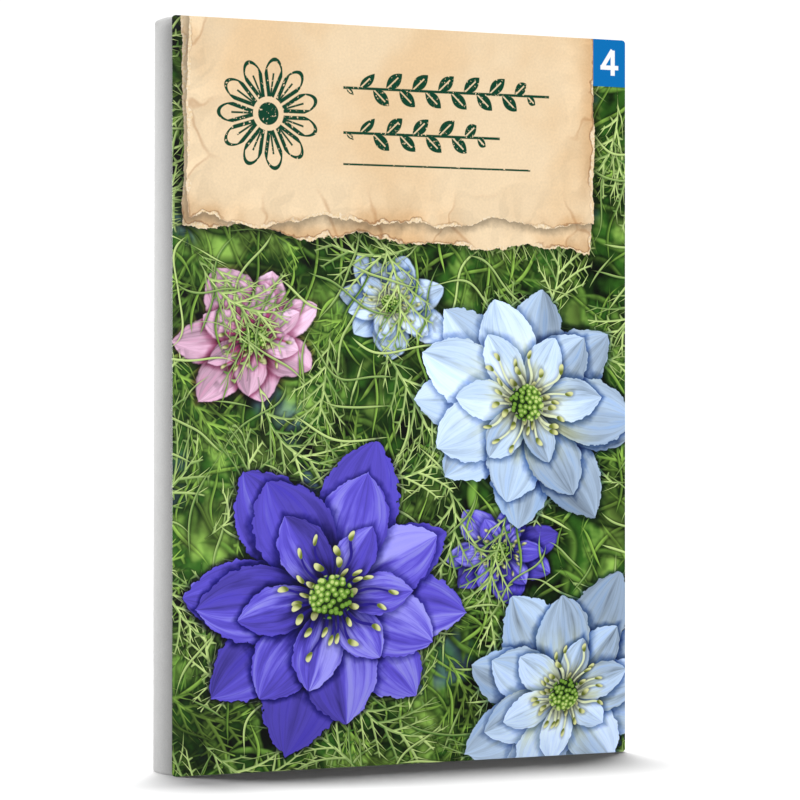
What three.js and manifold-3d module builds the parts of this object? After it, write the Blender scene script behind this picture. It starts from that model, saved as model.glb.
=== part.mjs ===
// A seed packet that stands on its base: a flat printed front panel, glued to a
// body folded from one white sheet, with soft sides, a lapped back seam and a
// flap turned over the back at the top and at the bottom. Inside it a sealed
// bag of two thin films holds a heap of small angular seeds.
//
// Millimetres. +Z is up, the front panel faces -Y, and the origin lies under
// the middle of the packet, on the surface that it stands on.

import * as THREE from "three";
import { mergeVertices } from "three/addons/utils/BufferGeometryUtils.js";
import Module from "manifold-3d";

const wasm = await Module();
wasm.setup();

// Driving dimensions.
const packet = { width: 115, height: 165, depth: 13.8 };
const paper = 0.5; // one layer of sheet
const glueLine = 0.3; // between two layers that are glued face to face
const panelCorner = 0.8; // radius of the front panel's corners
const overhang = 1.2; // the front panel stands past the body's side folds
const topDrop = 0.4; // the body ends this far below the panel's top edge
const sideBulge = 0.9; // how far each side swells out between its folds
const slimming = 0.08; // share of its depth that the body loses by the top
const softFold = { top: 2.2, bottom: 0.8, side: 0.6 }; // radii at the back
const crispFold = 0.5; // radius of the folds next to the panel
const glueMargin = 8; // the body's in-turned rim behind the panel
const flap = { top: 22, bottom: 18, taper: 3.5, inset: 2.4 };
const seam = { x: 18, lap: 13, step: 0.4 };

const bag = { width: 84, height: 118, seal: 7, film: 0.35, swell: 3.6, floorGap: 1 };
const heap = { halfWidth: 26, halfHeight: 15, halfDepth: 1.9, z: 31 };
const seed = { length: 1.6, width: 1.15, depth: 1.1, pitch: 3.5 };

// Worked out from them.
const frontY = -packet.depth / 2;
const backY = packet.depth / 2 - paper; // the back sheet, under the flaps
const bodyFrontY = frontY + paper + glueLine;
const bodyTop = packet.height - topDrop;
const bodyHalfWidth = packet.width / 2 - overhang;

const random = (() => {
  let state = 20250;
  return () => {
    state = (state * 1664525 + 1013904223) % 4294967296;
    return state / 4294967296;
  };
})();
const between = (low, high) => low + (high - low) * random();

function solidOf(geometry) {
  const bare = geometry.clone();
  bare.deleteAttribute("normal");
  bare.deleteAttribute("uv");
  const merged = mergeVertices(bare, 1e-4);
  return new wasm.Manifold(
    new wasm.Mesh({
      numProp: 3,
      vertProperties: merged.attributes.position.array,
      triVerts: new Uint32Array(merged.index.array),
    }),
  );
}

function geometryOf(solid) {
  const { vertProperties, triVerts } = solid.getMesh();
  const geometry = new THREE.BufferGeometry();
  geometry.setAttribute("position", new THREE.BufferAttribute(vertProperties, 3));
  geometry.setIndex(new THREE.BufferAttribute(triVerts, 1));
  const flat = geometry.toNonIndexed();
  flat.computeVertexNormals();
  return flat;
}

const extruded = (shape, depth) =>
  new THREE.ExtrudeGeometry(shape, { depth, bevelEnabled: false, curveSegments: 8 });

// An outline in plan (x, y) raised from low to high along Z.
const raised = (shape, low, high) => solidOf(extruded(shape, high - low).translate(0, 0, low));

// An outline seen from the right (y, z) carried across the width along X.
function carriedAcross(shape, halfWidth) {
  const turned = new THREE.Matrix4().set(0, 0, 1, 0, 1, 0, 0, 0, 0, 1, 0, 0, 0, 0, 0, 1);
  return solidOf(extruded(shape, 2 * halfWidth).translate(0, 0, -halfWidth).applyMatrix4(turned));
}

// An outline seen from the front (x, z) carried along Y.
function carriedBack(shape, low, high) {
  const turned = new THREE.Matrix4().set(1, 0, 0, 0, 0, 0, -1, 0, 0, 1, 0, 0, 0, 0, 0, 1);
  return solidOf(extruded(shape, high - low).applyMatrix4(turned).translate(0, high, 0));
}

// A closed outline through corners that each have a radius of their own.
function roundedOutline(corners) {
  const shape = new THREE.Shape();
  corners.forEach(({ at, radius }, i) => {
    const before = corners[(i + corners.length - 1) % corners.length].at;
    const after = corners[(i + 1) % corners.length].at;
    const enter = at.clone().add(before.clone().sub(at).setLength(radius));
    const leave = at.clone().add(after.clone().sub(at).setLength(radius));
    if (i === 0) shape.moveTo(enter.x, enter.y);
    else shape.lineTo(enter.x, enter.y);
    shape.quadraticCurveTo(at.x, at.y, leave.x, leave.y);
  });
  shape.closePath();
  return shape;
}

const corner = (x, y, radius) => ({ at: new THREE.Vector2(x, y), radius });

// The body in plan: flat front and back, and sides that swell out between them.
function planOutline(inset) {
  const half = bodyHalfWidth - inset;
  const front = bodyFrontY + inset;
  const back = backY - inset;
  const small = Math.max(crispFold - inset, 0.1);
  const large = softFold.side - inset;
  const swell = half + 2 * sideBulge;
  const middle = (front + back) / 2;
  const shape = new THREE.Shape();
  shape.moveTo(small - half, front);
  shape.lineTo(half - small, front);
  shape.quadraticCurveTo(half, front, half, front + small);
  shape.quadraticCurveTo(swell, middle, half, back - large);
  shape.quadraticCurveTo(half, back, half - large, back);
  shape.lineTo(large - half, back);
  shape.quadraticCurveTo(-half, back, -half, back - large);
  shape.quadraticCurveTo(-swell, middle, -half, front + small);
  shape.quadraticCurveTo(-half, front, small - half, front);
  return shape;
}

// The body seen from the side, out to a back sheet at the given place.
function sideOutline(inset, back, proud = 0) {
  const small = Math.max(crispFold - inset, 0.1);
  return roundedOutline([
    corner(bodyFrontY + inset, inset, small),
    corner(back, inset, softFold.bottom - inset + proud),
    corner(back, bodyTop - inset, softFold.top - inset + proud),
    corner(bodyFrontY + inset, bodyTop - inset, small),
  ]);
}

function rectangle(halfWidth, low, high) {
  return roundedOutline([
    corner(-halfWidth, low, panelCorner),
    corner(halfWidth, low, panelCorner),
    corner(halfWidth, high, panelCorner),
    corner(-halfWidth, high, panelCorner),
  ]);
}

// A flap's outline seen from the back, narrower at its free edge.
function flapOutline(foldZ, freeZ) {
  const wide = bodyHalfWidth - flap.inset;
  const narrow = wide - flap.taper;
  const shape = new THREE.Shape();
  const upwards = freeZ > foldZ;
  const [low, high] = upwards ? [foldZ, freeZ] : [freeZ, foldZ];
  const [halfLow, halfHigh] = upwards ? [wide, narrow] : [narrow, wide];
  shape.moveTo(-halfLow, low);
  shape.lineTo(halfLow, low);
  shape.lineTo(halfHigh, high);
  shape.lineTo(-halfHigh, high);
  shape.closePath();
  return shape;
}

// The back's right half laps over its left half: a step at one side that
// runs out to nothing at the other.
function seamStep() {
  const shape = new THREE.Shape();
  const buried = backY - paper / 2;
  shape.moveTo(seam.x, buried);
  shape.lineTo(seam.x + seam.lap, buried);
  shape.lineTo(seam.x + seam.lap, backY);
  shape.lineTo(seam.x, backY + seam.step);
  shape.closePath();
  return raised(shape, flap.bottom - 2, bodyTop - flap.top + 2);
}

function frontPanel() {
  const outline = rectangle(packet.width / 2, 0, packet.height);
  return carriedBack(outline, frontY, frontY + paper);
}

function foldedBody() {
  const full = bodyHalfWidth + 2 * sideBulge;
  const outside = raised(planOutline(0), 0, bodyTop).intersect(
    carriedAcross(sideOutline(0, backY), full),
  );
  const inside = raised(planOutline(paper), 0, bodyTop).intersect(
    carriedAcross(sideOutline(paper, backY - paper), full),
  );
  const window = carriedBack(
    rectangle(bodyHalfWidth - glueMargin, glueMargin, bodyTop - glueMargin),
    bodyFrontY - paper,
    bodyFrontY + 2 * paper,
  );
  const proud = carriedAcross(sideOutline(0, backY + paper, paper), full);
  const flaps = carriedBack(flapOutline(bodyTop, bodyTop - flap.top), 0, backY + paper)
    .add(carriedBack(flapOutline(0, flap.bottom), 0, backY + paper))
    .intersect(proud);
  return outside.add(seamStep()).add(flaps).subtract(inside).subtract(window);
}

// The seeds settle, so the body is fullest at its base and slims evenly
// towards its top, while its front stays flat against the panel.
function slimmed(geometry) {
  const at = geometry.getAttribute("position");
  for (let i = 0; i < at.count; i += 1) {
    const keep = 1 - (slimming * at.getZ(i)) / packet.height;
    at.setY(i, bodyFrontY + (at.getY(i) - bodyFrontY) * keep);
  }
  geometry.computeVertexNormals();
  return geometry;
}

// Half the room inside the bag, which swells from its seals and is fullest
// round the seeds.
function bagRoom(x, z) {
  const ramp = 8;
  const rise = (distance) =>
    Math.sin((Math.PI / 2) * THREE.MathUtils.clamp(distance / ramp, 0, 1)) ** 0.8;
  const fromSide = bag.width / 2 - bag.seal - Math.abs(x);
  const low = bag.floorGap + bag.seal;
  const high = bag.floorGap + bag.height - bag.seal;
  const emptier = 1 - 0.5 * THREE.MathUtils.smoothstep(z, heap.z, high);
  return bag.swell * emptier * rise(fromSide) * rise(Math.min(z - low, high - z));
}

// One film of the bag; side is -1 for the front film and 1 for the back one.
function bagFilm(side) {
  const film = new THREE.BoxGeometry(bag.width, bag.film, bag.height, 14, 1, 20);
  film.translate(0, 0, bag.floorGap + bag.height / 2);
  const at = film.getAttribute("position");
  for (let i = 0; i < at.count; i += 1) {
    const out = bagRoom(at.getX(i), at.getZ(i)) + (bag.film + glueLine) / 2;
    at.setY(i, at.getY(i) + side * out);
  }
  return solidOf(film);
}

function oneSeed(x, y, z) {
  const grain = new THREE.OctahedronGeometry(1, 0);
  grain.scale(seed.length, seed.depth, seed.width);
  grain.rotateY(between(0, Math.PI));
  grain.rotateZ(between(-0.3, 0.3));
  grain.translate(x, y, z);
  return solidOf(grain);
}

// A slumped heap: seeds in staggered rows over both faces of a lens and
// round its rim, each sunk to its middle.
function seedHeap() {
  const lens = new THREE.SphereGeometry(1, 16, 8);
  lens.scale(heap.halfWidth, heap.halfDepth, heap.halfHeight);
  const seeds = [solidOf(lens)];
  const rows = Math.floor(heap.halfHeight / seed.pitch);
  const columns = Math.ceil(heap.halfWidth / seed.pitch);
  for (let row = -rows; row <= rows; row += 1) {
    for (let column = -columns; column <= columns; column += 1) {
      const x = (column + (row % 2) / 2 + between(-0.15, 0.15)) * seed.pitch;
      const z = (row + between(-0.15, 0.15)) * seed.pitch;
      const reach = Math.hypot(x / heap.halfWidth, z / heap.halfHeight);
      if (reach > 0.88) continue;
      const y = heap.halfDepth * Math.sqrt(1 - reach ** 2);
      seeds.push(oneSeed(x, y, z), oneSeed(x, -y, z));
    }
  }
  const rimSeeds = 34;
  for (let i = 0; i < rimSeeds; i += 1) {
    const turn = (2 * Math.PI * (i + between(-0.2, 0.2))) / rimSeeds;
    seeds.push(oneSeed(heap.halfWidth * Math.cos(turn), 0, heap.halfHeight * Math.sin(turn)));
  }
  return wasm.Manifold.union(seeds).translate([0, 0, heap.z]);
}

function piece(name, geometry, color, roughness) {
  const material = new THREE.MeshStandardMaterial({ color, roughness, metalness: 0 });
  const mesh = new THREE.Mesh(geometry, material);
  mesh.name = name;
  return mesh;
}

const seedPacket = new THREE.Group();
seedPacket.add(
  piece("front_panel", geometryOf(frontPanel()), 0x5f8150, 0.5),
  piece("folded_body", slimmed(geometryOf(foldedBody())), 0xeeeeec, 0.75),
  piece("seed_bag_front_film", geometryOf(bagFilm(-1)), 0xd9d6cc, 0.35),
  piece("seed_bag_back_film", geometryOf(bagFilm(1)), 0xd9d6cc, 0.35),
  piece("seeds", geometryOf(seedHeap()), 0x17140f, 0.7),
);

export default seedPacket;
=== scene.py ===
# %% [markdown]
# # A packet of flower seeds
#
# A seed packet is almost nothing: a printed card, a white paper body glued behind it, and a
# sealed bag of seeds inside. So its looks come from three things. The print has to carry a
# whole meadow, the white paper has to read as soft folded sheet, and the light has to be
# that of a plain product picture. The CAD frame is loaded first, since everything is placed
# from the sizes of its nodes.

import math
import random

import bmesh
import bpy
from mathutils import Matrix, Vector, noise


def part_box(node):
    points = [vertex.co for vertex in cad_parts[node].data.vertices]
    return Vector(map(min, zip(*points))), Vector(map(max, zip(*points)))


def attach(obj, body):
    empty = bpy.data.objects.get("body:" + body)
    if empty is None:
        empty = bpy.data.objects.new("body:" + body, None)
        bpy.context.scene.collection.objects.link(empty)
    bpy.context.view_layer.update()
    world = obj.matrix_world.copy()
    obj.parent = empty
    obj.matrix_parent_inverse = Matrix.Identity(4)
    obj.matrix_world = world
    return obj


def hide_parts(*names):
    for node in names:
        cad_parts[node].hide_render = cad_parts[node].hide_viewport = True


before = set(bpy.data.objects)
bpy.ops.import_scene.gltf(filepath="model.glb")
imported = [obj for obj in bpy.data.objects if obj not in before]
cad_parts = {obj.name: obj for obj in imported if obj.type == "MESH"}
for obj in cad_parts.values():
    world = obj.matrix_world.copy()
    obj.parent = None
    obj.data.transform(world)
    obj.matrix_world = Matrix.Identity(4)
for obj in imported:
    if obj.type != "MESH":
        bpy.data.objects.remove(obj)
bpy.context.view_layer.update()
MM = 0.001

panel_low, panel_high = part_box("front_panel")
body_low, body_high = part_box("folded_body")
width = panel_high.x - panel_low.x
height = panel_high.z
face_y = panel_low.y


def in_scene(name, data):
    """A new object in the scene, which shows a mesh, a light or a camera."""
    made = bpy.data.objects.new(name, data)
    bpy.context.scene.collection.objects.link(made)
    return made


print(f"front panel {width / MM:.1f} x {height / MM:.1f} mm, its face at y = {face_y / MM:.2f} mm")

# %% [markdown]
# ## The camera
#
# The packet is seen from its left, turned by 28 degrees, by a level camera with a long lens.
# A level camera keeps upright edges upright, and the long lens keeps the perspective mild:
# the far edge of the front is only a little shorter than the near one. The camera is placed
# from the panel's face, so it follows if the packet's depth changes.

# %% The camera
TURN, LEVEL = math.radians(28.1), math.radians(90.0)
LENS, SENSOR = 156.55, 36.0
STAND = {"left": 0.3688, "before_face": 0.6874, "height": 0.0816}
camera_data = bpy.data.cameras.new("camera")
camera_data.lens = LENS
camera_data.sensor_width = SENSOR
camera_data.clip_end = 20.0
camera = in_scene("camera", camera_data)
camera.location = (-STAND["left"], face_y - STAND["before_face"], STAND["height"])
camera.rotation_euler = (LEVEL, 0.0, -TURN)
bpy.context.scene.camera = camera
bpy.context.scene.view_settings.view_transform = "Standard"
print(f"camera {camera.location.length:.3f} m from the packet's foot")

# %% [markdown]
# ## Shader maths as plain expressions
#
# A print that holds flowers, leaves and torn paper needs hundreds of small sums. Wired up by
# hand they would be unreadable, so one small class wraps a socket and gives it Python's
# operators: `1 - mask` then adds a Math node by itself. A second class is the finish under
# construction, and its `node` method makes any node from its type, its settings and what
# goes into its sockets. Colours never pass a Math node, which would turn them grey: they go
# through Mix nodes.

# %% A socket that can be calculated with
class Wire:
    """One output socket of a finish's node tree."""

    def __init__(self, finish, socket):
        self.finish = finish
        self.socket = socket

    def math(self, operation, *terms):
        return self.finish.node("ShaderNodeMath", {"operation": operation}, dict(enumerate(terms)))

    def vector(self, operation, *terms):
        return self.finish.node("ShaderNodeVectorMath", {"operation": operation}, dict(enumerate(terms)))

    def __add__(self, other):
        return self.math("ADD", self, other)

    def __radd__(self, other):
        return self.math("ADD", other, self)

    def __sub__(self, other):
        return self.math("SUBTRACT", self, other)

    def __rsub__(self, other):
        return self.math("SUBTRACT", other, self)

    def __mul__(self, other):
        return self.math("MULTIPLY", self, other)

    def __rmul__(self, other):
        return self.math("MULTIPLY", other, self)

    def __truediv__(self, other):
        return self.math("DIVIDE", self, other)

    def __rtruediv__(self, other):
        return self.math("DIVIDE", other, self)

    def __pow__(self, other):
        return self.math("POWER", self, other)

    def __neg__(self):
        return self.math("MULTIPLY", self, -1.0)

    def __abs__(self):
        return self.math("ABSOLUTE", self)

    def parts(self, kind="ShaderNodeSeparateXYZ"):
        split = self.finish.node(kind, {}, {0: self})
        return [Wire(self.finish, socket) for socket in split.socket.node.outputs]


class Finish:
    """A node tree under construction: a material's, or that of a recipe used in many places."""

    def __init__(self, tree):
        self.tree = tree
        tree.nodes.clear()

    def node(self, kind, settings=None, sockets=None, result=0):
        made = self.tree.nodes.new(kind)
        for name, value in (settings or {}).items():
            setattr(made, name, value)
        for key, value in (sockets or {}).items():
            if isinstance(value, Wire):
                self.tree.links.new(value.socket, made.inputs[key])
            else:
                made.inputs[key].default_value = value
        return Wire(self, made.outputs[result] if made.outputs else None)


def new_material(name):
    material = bpy.data.materials.new(name)
    material.use_nodes = True
    return material, Finish(material.node_tree)


def closed(material, finish, sockets):
    """Ends a material with its shader, whose sockets hold fixed numbers or wires."""
    shader = finish.node("ShaderNodeBsdfPrincipled", {}, sockets)
    finish.node("ShaderNodeOutputMaterial", {}, {0: shader})
    print(f"{material.name}: {len(finish.tree.nodes)} nodes")
    return material


def recipe(answer, **kinds):
    """Turns a function of wires into a node group, built once and placed wherever it is called."""

    def build(function):
        tree = bpy.data.node_groups.new(function.__name__, "ShaderNodeTree")
        inner = Finish(tree)
        for name, kind in kinds.items():
            tree.interface.new_socket(name, in_out="INPUT", socket_type="NodeSocket" + kind)
        tree.interface.new_socket("answer", in_out="OUTPUT", socket_type="NodeSocket" + answer)
        entry = inner.node("NodeGroupInput").socket.node
        wires = {name: Wire(inner, entry.outputs[name]) for name in kinds}
        inner.node("NodeGroupOutput", {}, {0: function(**wires)})
        print(f"recipe {function.__name__}: {len(tree.nodes)} nodes")

        def place(finish, **values):
            return finish.node("ShaderNodeGroup", {"node_tree": tree}, values)

        return place

    return build


# %% The few functions that the expressions use
def from_maths(operation):
    """A function of wires that adds one kind of Math node."""

    def applied(first, *others):
        return first.math(operation, first, *others)

    return applied


lower, higher = from_maths("MINIMUM"), from_maths("MAXIMUM")
above = from_maths("GREATER_THAN")
whole, fraction = from_maths("FLOOR"), from_maths("FRACT")
sine, cosine = from_maths("SINE"), from_maths("COSINE")


def ease(a, start, end):
    """Eases from 0 where a is start to 1 where a is end."""
    sockets = {"Value": a, "From Min": start, "From Max": end}
    return a.finish.node("ShaderNodeMapRange", {"interpolation_type": "SMOOTHSTEP"}, sockets)


def ink(code):
    """A colour written as on the screen, such as "5a46be", as the numbers that a shader uses."""
    channels = [int(code[i : i + 2], 16) / 255 for i in (0, 2, 4)]
    return tuple(c / 12.92 if c <= 0.04045 else ((c + 0.055) / 1.055) ** 2.4 for c in channels) + (1.0,)


MIX_SOCKETS = {"RGBA": (6, 7, 2), "VECTOR": (4, 5, 1)}


def mixed(mask, first, second, kind="RGBA", blend="MIX"):
    """`first` where mask is 0 and `second` where it is 1, both of them colours or both vectors."""
    a, b, result = MIX_SOCKETS[kind]
    settings = {"data_type": kind, "blend_type": blend}
    return mask.finish.node("ShaderNodeMix", settings, {0: mask, a: first, b: second}, result)


def over(under, top, mask):
    """The colour `top` laid over `under` where mask is 1."""
    return mixed(mask, under, top)


def dimmed(colour, amount):
    """The colour multiplied by a number, which may be over 1."""
    sockets = {0: colour, "Scale": amount}
    return colour.finish.node("ShaderNodeVectorMath", {"operation": "SCALE"}, sockets)


def tinted(colour, tint, amount):
    """The colour with a tint's shade on it where amount is 1."""
    return mixed(amount, colour, tint, blend="MULTIPLY")


def joined(finish, x, y, z=0.0):
    return finish.node("ShaderNodeCombineXYZ", {}, {0: x, 1: y, 2: z})


def mottle(at, size, detail=2.0, seed=0, roughness=0.5):
    """Soft noise from 0 to 1, with blotches about `size` across in the units of `at`."""
    moved = at.vector("MULTIPLY_ADD", at, (1 / size,) * 3, (7.31 * seed, 3.17 * seed, 0.0))
    sockets = {"Vector": moved, "Scale": 1.0, "Detail": detail, "Roughness": roughness}
    return at.finish.node("ShaderNodeTexNoise", {"noise_dimensions": "2D"}, sockets)


def dice(finish, a, b, c=0.0):
    """Three random numbers for each set of whole numbers."""
    rolled = finish.node("ShaderNodeTexWhiteNoise", {}, {"Vector": joined(finish, a, b, c)}, 1)
    return rolled.parts("ShaderNodeSeparateColor")


def bumped(height, strength, distance):
    """The normal of a surface in relief, where a height of 1 stands for `distance` in metres."""
    sockets = {"Strength": strength, "Distance": distance, "Height": height}
    return height.finish.node("ShaderNodeBump", {}, sockets)


OBJECT_COORDINATES = 3


def in_millimetres(finish):
    """The place on the piece, in millimetres."""
    place = finish.node("ShaderNodeTexCoord", {}, {}, OBJECT_COORDINATES)
    return place.vector("MULTIPLY", place, (1 / MM,) * 3)


print("expressions ready")

# %% [markdown]
# ## The printed meadow, from back to front
#
# The print is a picture of a summer meadow under a header of torn kraft paper. It is built
# the way a collage is, from the back to the front: blurred greenery, distant blooms, threads
# of foliage, near blooms, and last the header with its ornaments. Every layer is a formula
# of the place on the card in millimetres, so the picture is as sharp as wanted and has no
# seams. An image would be quicker, but a formula can be enlarged, recoloured and reused.
#
# One rule of the renderer shapes the code. Cycles works a shader out on a stack of 255
# numbers, and it starts every sum as soon as the sum's inputs are there. Layers that don't
# wait for each other would all be open at once, and would overrun that stack. So each layer
# reads its place from a wire that the layer before it has touched, by far less than a
# number's last digit.

# %% A picture that grows layer by layer
FULL_TURN = 2 * math.pi
TOUCH = (1e-9, 1e-9, 1e-9)


class Collage:
    """A picture under way, and the place that its next layer reads."""

    def __init__(self, picture, at):
        self.picture = picture
        self.at = at

    def lay(self, layer, **values):
        self.picture = layer(self.at.finish, picture=self.picture, at=self.at, **values)
        self.at = self.at.vector("MULTIPLY_ADD", self.picture, TOUCH, self.at)


def layer(**kinds):
    """A recipe that lays something over a picture."""
    return recipe("Color", picture="Color", at="Vector", **kinds)


# %% [markdown]
# ## Foliage
#
# Fine-cut foliage is the hard part of the meadow. There are two kinds. A sprig is a bent stem
# with side branches that all leave it at the same angle, and each branch has forks of its
# own. The side branches of one sprig are parallel, so one saw-tooth gives the distance to the
# nearest of them. The card is divided into tilted squares with one sprig in each, turned at
# random. Threads are long loose lines in lanes, broken into tapered lengths where a slow
# noise along the lane is low. Many layers of both, at all angles, cover the ground.

# %% Places along tilted axes
def turned(at, angle, size):
    """The place measured along tilted axes, in squares of `size` millimetres."""
    turn = {"rotation_type": "Z_AXIS"}
    spun = at.finish.node("ShaderNodeVectorRotate", turn, {"Vector": at, "Angle": angle})
    scaled = spun.vector("DIVIDE", spun, joined(at.finish, size, size, 1.0))
    return scaled.vector("ADD", scaled, joined(at.finish, angle * 9.7, angle * 5.3))


def drift(finish, along, seed=0.0):
    """Slow noise along a line, from 0 to 1."""
    sockets = {"W": along + seed, "Scale": 1.0, "Detail": 0.0}
    return finish.node("ShaderNodeTexNoise", {"noise_dimensions": "1D"}, sockets)


# %% A blade over the picture
def blade(picture, half, off, tone, light, dark, shade, mask):
    """Lays a blade of foliage over its own soft shadow; one long side of it is the brighter."""
    lit = ease(off, -half, half) * 0.4 + tone * 0.6
    return over(dimmed(picture, 1 - shade * 0.5), over(dark, light, lit), mask)


# %% Sprigs
FOLIAGE = {"size": "Float", "angle": "Float", "seed": "Float", "light": "Color", "dark": "Color",
           "thick": "Float", "blur": "Float"}
STEM = {"bow": 2.2, "half_squared": 0.19}
BRANCH = {"angle": math.radians(36), "gap": 0.13, "curl": 1.6, "length": 1.9}
FORK = {"angle": math.radians(28), "gap": 0.115, "width": 0.7}


@layer(**FOLIAGE)
def sprigs(picture, at, size, angle, seed, light, dark, thick, blur):
    """Lays one layer of sprigs over the picture; `thick` and `blur` are in millimetres."""
    finish = at.finish
    spot = turned(at, angle, size)
    column, row, _ = spot.vector("FLOOR", spot).parts()
    u, v, _ = spot.vector("FRACTION", spot).parts()
    first, second, third = dice(finish, column, row, seed)
    lean = first * FULL_TURN
    u, v = u - 0.5, v - 0.5
    along = u * cosine(lean) + v * sine(lean)
    bow = (second - 0.5) * STEM["bow"]
    across = v * cosine(lean) - u * sine(lean) + along * along * bow
    side = abs(across)
    wide = thick / size
    root = along - side * (1 / math.tan(BRANCH["angle"])) + side * side * BRANCH["curl"]
    step = root * (1 / BRANCH["gap"]) + above(across, 0.0) * 0.5
    number = whole(step)
    off = (step - number - 0.5) * (BRANCH["gap"] * math.sin(BRANCH["angle"]))
    roll, tone, _ = dice(finish, number, above(across, 0.0), third)
    reach = (STEM["half_squared"] - root * root) * (roll + 0.7) * BRANCH["length"]
    out = side * (1 / math.sin(BRANCH["angle"]))
    left = 1 - out / higher(reach, 0.001)
    branch = (left * 0.7 + 0.3) * wide - abs(off)
    fork_root = out - abs(off) * (1 / math.tan(FORK["angle"]))
    fork_pitch = FORK["gap"] * math.sin(FORK["angle"])
    fork_off = (fraction(fork_root * (1 / FORK["gap"])) - 0.5) * fork_pitch
    fork = wide * FORK["width"] - abs(fork_off) - abs(off) * 0.12
    twigs = lower(higher(branch, fork), left * 0.05)
    stem = lower((STEM["half_squared"] - along * along) * (wide * 8), wide * 1.2) - side
    shape = higher(twigs, stem)
    soft = blur / size
    shade = ease(shape, -wide * 1.8 - soft, wide * 0.3)
    return blade(picture, wide, off, tone, light, dark, shade, ease(shape, -soft, soft))


# %% Threads
THREAD = {"wave": 23.0, "swing": 9.0, "run": 21.0, "sway": 0.8, "tip": 0.44, "full": 0.6}


@layer(**FOLIAGE)
def threads(picture, at, size, angle, seed, light, dark, thick, blur):
    """Lays lanes of long threads, `size` apart, each broken into tapered lengths."""
    finish = at.finish
    length, lane, _ = turned(at, angle, size).parts()
    wave = drift(finish, length * (size / THREAD["wave"]), seed * 3.1) - 0.5
    lane = lane + wave * (THREAD["swing"] / size)
    number = whole(lane)
    roll, tone, _ = dice(finish, number, seed)
    place = length * (size / THREAD["run"]) + roll * 90.0
    run = drift(finish, place)
    sway = drift(finish, place * 1.3, 40.0)
    off = lane - number - 0.5 + (sway - 0.5) * THREAD["sway"]
    half = thick / size
    shape = ease(run, THREAD["tip"], THREAD["full"]) * half - abs(off)
    soft = blur / size
    shade = ease(shape, -half * 1.8 - soft, 0.0) * ease(run, 0.46, 0.55)
    mask = ease(shape, -soft, soft) * ease(run, THREAD["tip"], 0.49)
    return blade(picture, half, off, tone, light, dark, shade, mask)


# %% [markdown]
# ## Blooms
#
# A bloom is drawn in polar coordinates: how far out from its heart, and in which direction.
# The full turn is divided into as many sectors as it has petals, and the two petals on
# either side of a place are drawn one over the other, each with its own length, tilt and
# tone. A petal is a width that swells and tapers along its axis. Lengthwise streaks of noise
# that narrow with the petal are its veins, and one half is brighter than the other, as a
# petal that is folded along its midrib is. Each petal darkens what lies just outside its
# edge, and that soft shadow is what lifts the layers off each other.
#
# Several blooms share one set of nodes: each place on the card first picks the bloom that it
# is nearest to, and takes its centre, size and colours.

# %% Which bloom is nearest
def nearest_bloom(finish, x, z, blooms):
    """The nearest bloom's distance in radii, squared, and its place, setting and colours."""
    best = None
    for bloom in blooms:
        (cx, cz), radius = bloom["centre"], bloom["radius"]
        dx, dz = (x - cx) * (1 / radius), (z - cz) * (1 / radius)
        distance = dx * dx + dz * dz
        numbers = [(cx, cz, radius), (bloom["turn"], bloom["squash"], bloom["lean"])]
        colours = [ink(bloom[name]) for name in ("tip", "throat", "vein")]
        if best is None:
            best = distance
            picked_numbers = [joined(finish, *value) for value in numbers]
            picked_colours = colours
        else:
            closer = above(best - distance, 0.0)
            best = lower(best, distance)
            picked_numbers = [mixed(closer, *pair, "VECTOR") for pair in zip(picked_numbers, numbers)]
            picked_colours = [mixed(closer, *pair) for pair in zip(picked_colours, colours)]
    return best, picked_numbers, picked_colours


WITH_SHADOW = 1.13


def within_reach(at, blooms):
    """1 where some bloom of the set, or its shadow, may lie, and 0 elsewhere."""
    x, z, _ = at.parts()
    distance, _, _ = nearest_bloom(at.finish, x, z, blooms)
    return above(WITH_SHADOW ** 2 - distance, 0.0)


# %% One petal over the picture
PETAL = {"swing": 0.34, "throat": 1.15, "shadow": 2.6, "veins": 4.5, "crease": 0.16, "sun": 0.12}
SHEEN = "e4eaff"


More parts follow.
